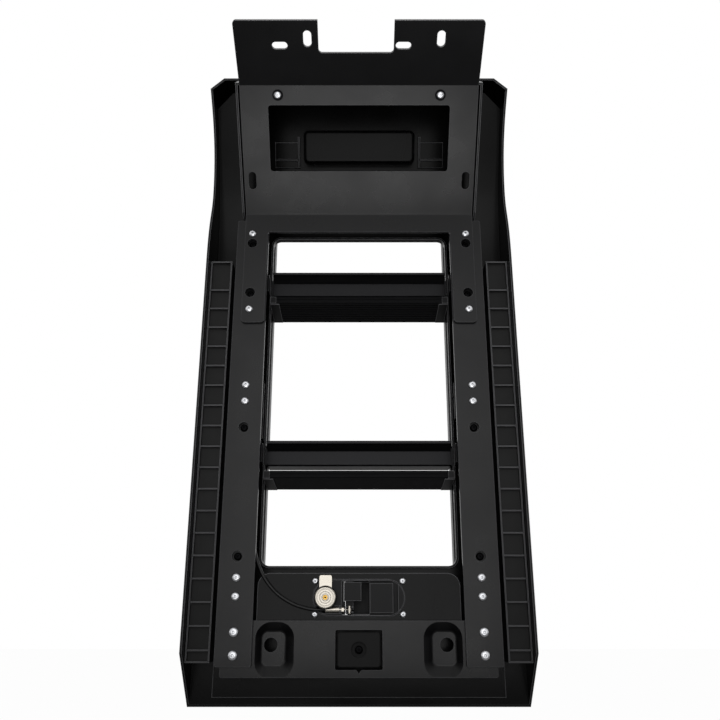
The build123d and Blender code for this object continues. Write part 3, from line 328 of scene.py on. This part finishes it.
def plated(name, base, spacing, low, high):
    """Bright plating on turned or pressed metal, with fine scuffs in its gloss and painted shade darkening its
    sockets and grooves.
    """
    material, tree, output = new_material(name)
    scuff = object_noise(tree, spacing, detail=4.0, roughness=0.65)
    # Painted shade: the colour darkens in sockets and grooves narrower than about twice the reach, where shade falls.
    open_sky = add_node(tree, "ShaderNodeAmbientOcclusion", {"samples": 8}, Distance=SOCKET_SHADE_REACH).outputs["AO"]
    unshaded = add_node(tree, "ShaderNodeMapRange", i0=open_sky, i1=0.3, i2=0.75, i3=0.0, i4=1.0).outputs["Result"]
    shaded_tone = tuple(SOCKET_SHADE * c for c in base[:3]) + (1.0,)
    tone = add_node(tree, "ShaderNodeMix", {"data_type": "RGBA"}, i0=unshaded, i6=shaded_tone, i7=tuple(base)).outputs[2]
    shade(tree, output, rounded(tree, 0.3 * MM), Base_Color=tone, Metallic=1.0,
          Roughness=between(tree, scuff, low, high))
    return material


def pvc_sheath(look):
    """Extruded PVC over the cable: smooth and glossy, with slow waves along its length."""
    material, tree, output = new_material("pvc_sheath")
    wave = object_noise(tree, 6 * MM, detail=1.0)
    shade(tree, output, rounded(tree, 0.2 * MM, wave, 0.03 * MM), Base_Color=tuple(look.sheath),
          Roughness=between(tree, wave, 0.24, 0.36), Specular_IOR_Level=0.2)
    return material


def deselect():
    """Leaves nothing selected, so that the next operator acts on its own piece alone."""
    bpy.ops.object.select_all(action="DESELECT")


def settle(piece, name):
    """Names a new piece and puts its place into its mesh, with its origin where the frame's is."""
    piece.name = name
    bpy.ops.object.transform_apply(location=True, rotation=True, scale=True)
    return piece


def bar(name, low, high):
    """A bar between two corners."""
    deselect()
    bpy.ops.mesh.primitive_cube_add(size=1, location=[0.5 * (a + b) for a, b in zip(low, high)])
    bpy.context.object.scale = [b - a for a, b in zip(low, high)]
    return settle(bpy.context.object, name)


def round_edges(piece, radius):
    """Rounds all edges of a piece."""
    bpy.ops.object.modifier_add(type="BEVEL")
    piece.modifiers[-1].width = radius
    piece.modifiers[-1].segments = 3
    bpy.ops.object.modifier_apply(modifier=piece.modifiers[-1].name)


def ring(name, centre, radius, wire, flat=1.0):
    """A circle spun round an axis along Y through the centre; flat squeezes the wire along that axis."""
    deselect()
    x, y, z = centre
    bpy.ops.mesh.primitive_circle_add(vertices=16, radius=wire, location=(x + radius, y, z))
    bpy.context.object.scale = (1, flat, 1)
    piece = settle(bpy.context.object, name)
    bpy.ops.object.mode_set(mode="EDIT")
    bpy.ops.mesh.select_all(action="SELECT")
    bpy.ops.mesh.spin(steps=64, angle=2 * math.pi, center=centre, axis=(0, 1, 0))
    bpy.ops.mesh.select_all(action="SELECT")
    bpy.ops.mesh.remove_doubles(threshold=0.001 * MM)
    bpy.ops.mesh.normals_make_consistent(inside=False)
    bpy.ops.object.mode_set(mode="OBJECT")
    bpy.ops.object.shade_smooth()
    return piece


def fit(piece, body, material):
    """Gives a new piece its body and its material."""
    piece.data.materials.append(material)
    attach(piece, body)


def dress(material, *names):
    """Gives CAD nodes a material."""
    for name in names:
        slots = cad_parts[name].data.materials
        slots.clear()
        slots.append(material)


class LADDER_OT_steelwork(bpy.types.Operator):
    """Coats the straps, the roof bracket, the cross plate and the hidden rails"""

    bl_idname = "side_ladder.steelwork"
    bl_label = "Steelwork"

    def execute(self, context):
        coat = powder_coated_steel(context.scene.ladder_finishes)
        dress(coat, "left_strap", "right_strap", "roof_bracket", "cross_plate", "left_rail", "right_rail",
               "rung_brackets", "left_hinge_block", "right_hinge_block", "guide_block", "latch_body")
        return {"FINISHED"}


class LADDER_OT_housing(bpy.types.Operator):
    """Finishes the moulded housing"""

    bl_idname = "side_ladder.housing"
    bl_label = "Housing"

    def execute(self, context):
        dress(moulded_abs(context.scene.ladder_finishes), "housing")
        return {"FINISHED"}


class LADDER_OT_rib_strips(bpy.types.Operator):
    """Finishes the ribbed strips in the side channels"""

    bl_idname = "side_ladder.rib_strips"
    bl_label = "Rib strips"

    def execute(self, context):
        dress(polypropylene(context.scene.ladder_finishes), "left_rib_strip", "right_rib_strip")
        return {"FINISHED"}


class LADDER_OT_rungs(bpy.types.Operator):
    """Finishes the fixed rungs, the treads and the stiles"""

    bl_idname = "side_ladder.rungs"
    bl_label = "Rungs, treads and stiles"

    def execute(self, context):
        metal = anodised_aluminium(context.scene.ladder_finishes)
        dress(metal, "lower_rung", "upper_rung", "left_stile", "right_stile")
        dress(hard_anodised(context.scene.ladder_finishes), "lower_tread", "upper_tread")
        return {"FINISHED"}


class LADDER_OT_mouldings(bpy.types.Operator):
    """Finishes the handle, the lugs, the tread ends and the rubber feet"""

    bl_idname = "side_ladder.mouldings"
    bl_label = "Handle and small mouldings"

    def execute(self, context):
        look = context.scene.ladder_finishes
        dress(filled_nylon(look), "handle_base", "paddle", "left_hinge_lug", "right_hinge_lug", "lower_tread_ends",
               "upper_tread_ends", "left_striker", "right_striker")
        dress(moulded_rubber(look), "left_stile_cap", "right_stile_cap", "centre_bumper")
        return {"FINISHED"}


class LADDER_OT_handle_lips(bpy.types.Operator):
    """Narrows the slits round the pull flap: a stepped lip in the base's hole and two lips along the flap"""

    bl_idname = "side_ladder.handle_lips"
    bl_label = "Handle lips"

    def execute(self, context):
        size = context.scene.ladder_details
        nylon = bpy.data.materials["filled_nylon"]
        low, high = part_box("paddle")
        fit(self.stepped_lip(size, low, high), "frame", nylon)
        for lip in self.flap_lips(size, low, high):
            fit(lip, "handle", nylon)
        return {"FINISHED"}

    def stepped_lip(self, size, low, high):
        """Lip on the left wall of the hole, wider below the crank's arm."""
        near = low.y + size.lip_front
        step = 0.5 * (low.z + high.z) - size.step_drop
        lip = bar("hole_lip", (low.x - size.lip_reach, near, low.z - size.lip_over),
                  (low.x - size.lip_gap, near + size.lip_depth, high.z + size.lip_over))
        bpy.ops.object.mode_set(mode="EDIT")
        bpy.ops.mesh.select_all(action="SELECT")
        bpy.ops.mesh.bisect(plane_co=(0, 0, step), plane_no=(0, 0, 1))
        bpy.ops.mesh.select_mode(type="FACE")
        bpy.ops.mesh.select_all(action="DESELECT")
        bpy.ops.object.mode_set(mode="OBJECT")
        for face in lip.data.polygons:
            face.select = face.normal.x > 0.9 and face.center.z < step
        bpy.ops.object.mode_set(mode="EDIT")
        bpy.ops.mesh.extrude_region_move(TRANSFORM_OT_translate={"value": (size.step_width, 0, 0)})
        bpy.ops.object.mode_set(mode="OBJECT")
        round_edges(lip, size.lip_round)
        return lip

    def flap_lips(self, size, low, high):
        """Lip along the flap's top edge, and its copy along the bottom edge."""
        top = bar("flap_top_lip", (low.x + size.flap_inset, high.y - size.flap_back - size.flap_depth,
                                   high.z - size.flap_sunk),
                  (high.x - size.flap_end, high.y - size.flap_back, high.z + size.flap_rise))
        round_edges(top, size.flap_round)
        drop = high.z - low.z + size.flap_rise - size.flap_sunk
        bpy.ops.object.duplicate()
        bpy.context.object.location.z -= drop
        return top, settle(bpy.context.object, "flap_bottom_lip")


class LADDER_OT_lock_face(bpy.types.Operator):
    """Adds the seal round the lock's drum, the collar and rim on its plug and a dark disc on the plug as painted
    shade of its socket
    """

    bl_idname = "side_ladder.lock_face"
    bl_label = "Lock face"

    def execute(self, context):
        size = context.scene.ladder_details
        low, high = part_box("lock_plug")
        x, z = 0.5 * (low.x + high.x), 0.5 * (low.z + high.z)
        seal = ring("drum_seal", (x, low.y + size.seal_depth, z), size.seal_radius, size.seal_wire)
        fit(seal, "lock", bpy.data.materials["moulded_rubber"])
        collar = ring("plug_collar", (x, low.y + size.collar_depth, z), size.collar_radius, size.collar_wire, 0.6)
        fit(collar, "lock", bpy.data.materials["nickel_plated_zamak"])
        rim = ring("plug_rim", (x, low.y, z), size.rim_radius, size.rim_wire, 0.7)
        fit(rim, "lock", bpy.data.materials["turned_brass"])
        socket = self.socket(size, (x, low.y - size.socket_proud, z))
        fit(socket, "lock", bpy.data.materials["black_zinc_steel"])
        return {"FINISHED"}

    def socket(self, size, centre):
        """Dark six-sided disc on the plug's face: painted shade in place of the plug's socket."""
        deselect()
        bpy.ops.mesh.primitive_cylinder_add(vertices=6, radius=size.socket_radius, depth=size.socket_depth,
                                            rotation=(math.radians(90), 0, 0), location=centre)
        piece = settle(bpy.context.object, "plug_socket_shade")
        round_edges(piece, size.socket_round)
        return piece


class LADDER_OT_fasteners(bpy.types.Operator):
    """Plates the bolts, screws, pins and the latch spring"""

    bl_idname = "side_ladder.fasteners"
    bl_label = "Fasteners"

    def execute(self, context):
        look = context.scene.ladder_finishes
        zinc = plated("zinc_plated_steel", look.zinc, 1.5 * MM, 0.22, 0.4)
        dress(zinc, "bracket_bolts", "block_bolts", "cross_plate_bolts", "top_screws", "handle_screws",
               "rung_screws", "left_hinge_pin", "right_hinge_pin", "paddle_pin", "latch_bolt",
               "latch_spring")
        black = plated("black_zinc_steel", look.black_zinc, 1.5 * MM, 0.3, 0.5)
        dress(black, "housing_screws", "top_washers", "bumper_screw")
        return {"FINISHED"}


class LADDER_OT_lock_and_cable(bpy.types.Operator):
    """Finishes the lock, its cam, and the release cable with its ends"""

    bl_idname = "side_ladder.lock_and_cable"
    bl_label = "Lock and cable"

    def execute(self, context):
        look = context.scene.ladder_finishes
        nickel = plated("nickel_plated_zamak", look.nickel, 2 * MM, 0.18, 0.32)
        dress(nickel, "lock_body", "lock_nut", "lock_cam", "cable_ferrules", "cable_barrel", "cable_core",
               "latch_wire")
        dress(plated("turned_brass", look.brass, 1 * MM, 0.2, 0.34), "lock_plug")
        dress(pvc_sheath(look), "cable_sheath")
        return {"FINISHED"}


def studio_floor(setup):
    """Painted board: white in the picture with the object's soft shadow, paler in mirrors than its mid grey paint."""
    material, tree, output = new_material("painted_board")
    path = add_node(tree, "ShaderNodeLightPath")
    paint = add_node(tree, "ShaderNodeMix", {"data_type": "RGBA"}, i0=path.outputs["Is Camera Ray"],
                     i6=tuple(setup.floor), i7=(1, 1, 1, 1))
    board = add_node(tree, "ShaderNodeBsdfDiffuse", Color=paint.outputs[2])
    glow = add_node(tree, "ShaderNodeEmission", Color=(1, 1, 1, 1), Strength=1.0)
    mirrored = add_node(tree, "ShaderNodeMath", {"operation": "MAXIMUM"}, i0=path.outputs["Is Glossy Ray"],
                        i1=path.outputs["Is Transmission Ray"]).outputs[0]
    dimmed = add_node(tree, "ShaderNodeMath", {"operation": "MULTIPLY"}, i0=mirrored, i1=setup.mirrored).outputs[0]
    seen = add_node(tree, "ShaderNodeMath", {"operation": "MULTIPLY_ADD"}, i0=path.outputs["Is Camera Ray"],
                    i1=setup.glow, i2=dimmed).outputs[0]
    mix = add_node(tree, "ShaderNodeMixShader", i0=seen, i1=board.outputs["BSDF"],
                   i2=glow.outputs["Emission"])
    tree.links.new(mix.outputs["Shader"], output.inputs["Surface"])
    return material


def softbox(name, size, place, target, radiance):
    """A rectangular lamp at a place, turned towards a target, whose face has the given radiance."""
    bpy.ops.object.light_add(type="AREA", location=place)
    lamp = bpy.context.object
    lamp.name = name
    lamp.data.shape = "RECTANGLE"
    lamp.data.size, lamp.data.size_y = size
    lamp.data.energy = radiance * math.pi * size[0] * size[1]
    lamp.rotation_euler = (Vector(target) - Vector(place)).to_track_quat("-Z", "Y").to_euler()


class LADDER_OT_studio(bpy.types.Operator):
    """Sets up the floor, the lamps, the background and the camera"""

    bl_idname = "side_ladder.studio"
    bl_label = "Studio"

    def execute(self, context):
        setup = context.scene.ladder_studio
        self.floor(setup)
        self.background(context.scene, setup)
        self.lamps(setup)
        self.camera(context.scene, setup)
        context.scene.view_settings.view_transform = "Standard"
        return {"FINISHED"}

    def floor(self, setup):
        """Floor just below the lowest point that the stiles reach when the section hangs down on its hinge pins."""
        pin_low, pin_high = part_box("left_hinge_pin")
        hinge = 0.5 * (pin_low.z + pin_high.z)
        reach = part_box("left_stile_cap")[1].z - hinge
        deselect()
        bpy.ops.mesh.primitive_plane_add(size=FLOOR_SIZE, location=(0, 0, hinge - reach))
        board = bpy.context.object
        board.name = "floor"
        board.data.materials.append(studio_floor(setup))

    def background(self, scene, setup):
        """World that is white to the camera and in metal and glass, and dimmer as light on the object."""
        world = bpy.data.worlds.new("studio")
        scene.world = world
        world.use_nodes = True
        tree = world.node_tree
        tree.nodes.clear()
        path = add_node(tree, "ShaderNodeLightPath")
        seen = path.outputs["Is Camera Ray"]
        for kind in ("Is Glossy Ray", "Is Transmission Ray"):
            seen = add_node(tree, "ShaderNodeMath", {"operation": "MAXIMUM"}, i0=seen,
                            i1=path.outputs[kind]).outputs[0]
        level = add_node(tree, "ShaderNodeMapRange", i0=seen, i1=0.0, i2=1.0, i3=setup.ambient, i4=1.0)
        sky = add_node(tree, "ShaderNodeBackground", Color=(1, 1, 1, 1), Strength=level.outputs["Result"])
        output = tree.nodes.new("ShaderNodeOutputWorld")
        tree.links.new(sky.outputs["Background"], output.inputs["Surface"])

    def lamps(self, setup):
        """Adds the lamps at the radiances of the studio settings."""
        for name, size, place, target, setting in LAMPS:
            softbox(name, size, place, target, getattr(setup, setting))

    def camera(self, scene, setup):
        """Camera at the photograph's viewing angle, near the ground and tilted up."""
        bpy.ops.object.camera_add(location=(setup.aside, -setup.distance, setup.height),
                                  rotation=(math.radians(90) + setup.tilt, 0, 0))
        camera = bpy.context.object
        camera.data.sensor_width = 36
        camera.data.lens = setup.lens
        scene.camera = camera


class LADDER_PT_panel(bpy.types.Panel):
    """Lists the ladder's settings and steps"""

    bl_idname = "LADDER_PT_panel"
    bl_label = "Side Ladder"
    bl_space_type = "VIEW_3D"
    bl_region_type = "UI"
    bl_category = "Side Ladder"

    def draw(self, context):
        scene = context.scene
        for group in (scene.ladder_finishes, scene.ladder_details, scene.ladder_studio):
            for name in group.bl_rna.properties.keys():
                if name not in ("rna_type", "name"):
                    self.layout.prop(group, name)
        for step in STEPS:
            self.layout.operator(step.bl_idname)


STEPS = (LADDER_OT_steelwork, LADDER_OT_housing, LADDER_OT_rib_strips, LADDER_OT_rungs, LADDER_OT_mouldings,
         LADDER_OT_fasteners, LADDER_OT_lock_and_cable, LADDER_OT_handle_lips, LADDER_OT_lock_face, LADDER_OT_studio)
CLASSES = (LadderFinishes, HandleDetails, StudioSettings, LADDER_PT_panel) + STEPS


def register():
    for cls in CLASSES:
        bpy.utils.register_class(cls)
    bpy.types.Scene.ladder_finishes = bpy.props.PointerProperty(type=LadderFinishes)
    bpy.types.Scene.ladder_details = bpy.props.PointerProperty(type=HandleDetails)
    bpy.types.Scene.ladder_studio = bpy.props.PointerProperty(type=StudioSettings)


def unregister():
    del bpy.types.Scene.ladder_studio
    del bpy.types.Scene.ladder_details
    del bpy.types.Scene.ladder_finishes
    for cls in reversed(CLASSES):
        bpy.utils.unregister_class(cls)


def main():
    register()
    for step in STEPS:
        group, name = step.bl_idname.split(".")
        getattr(getattr(bpy.ops, group), name)()


if __name__ == "__main__":
    main()
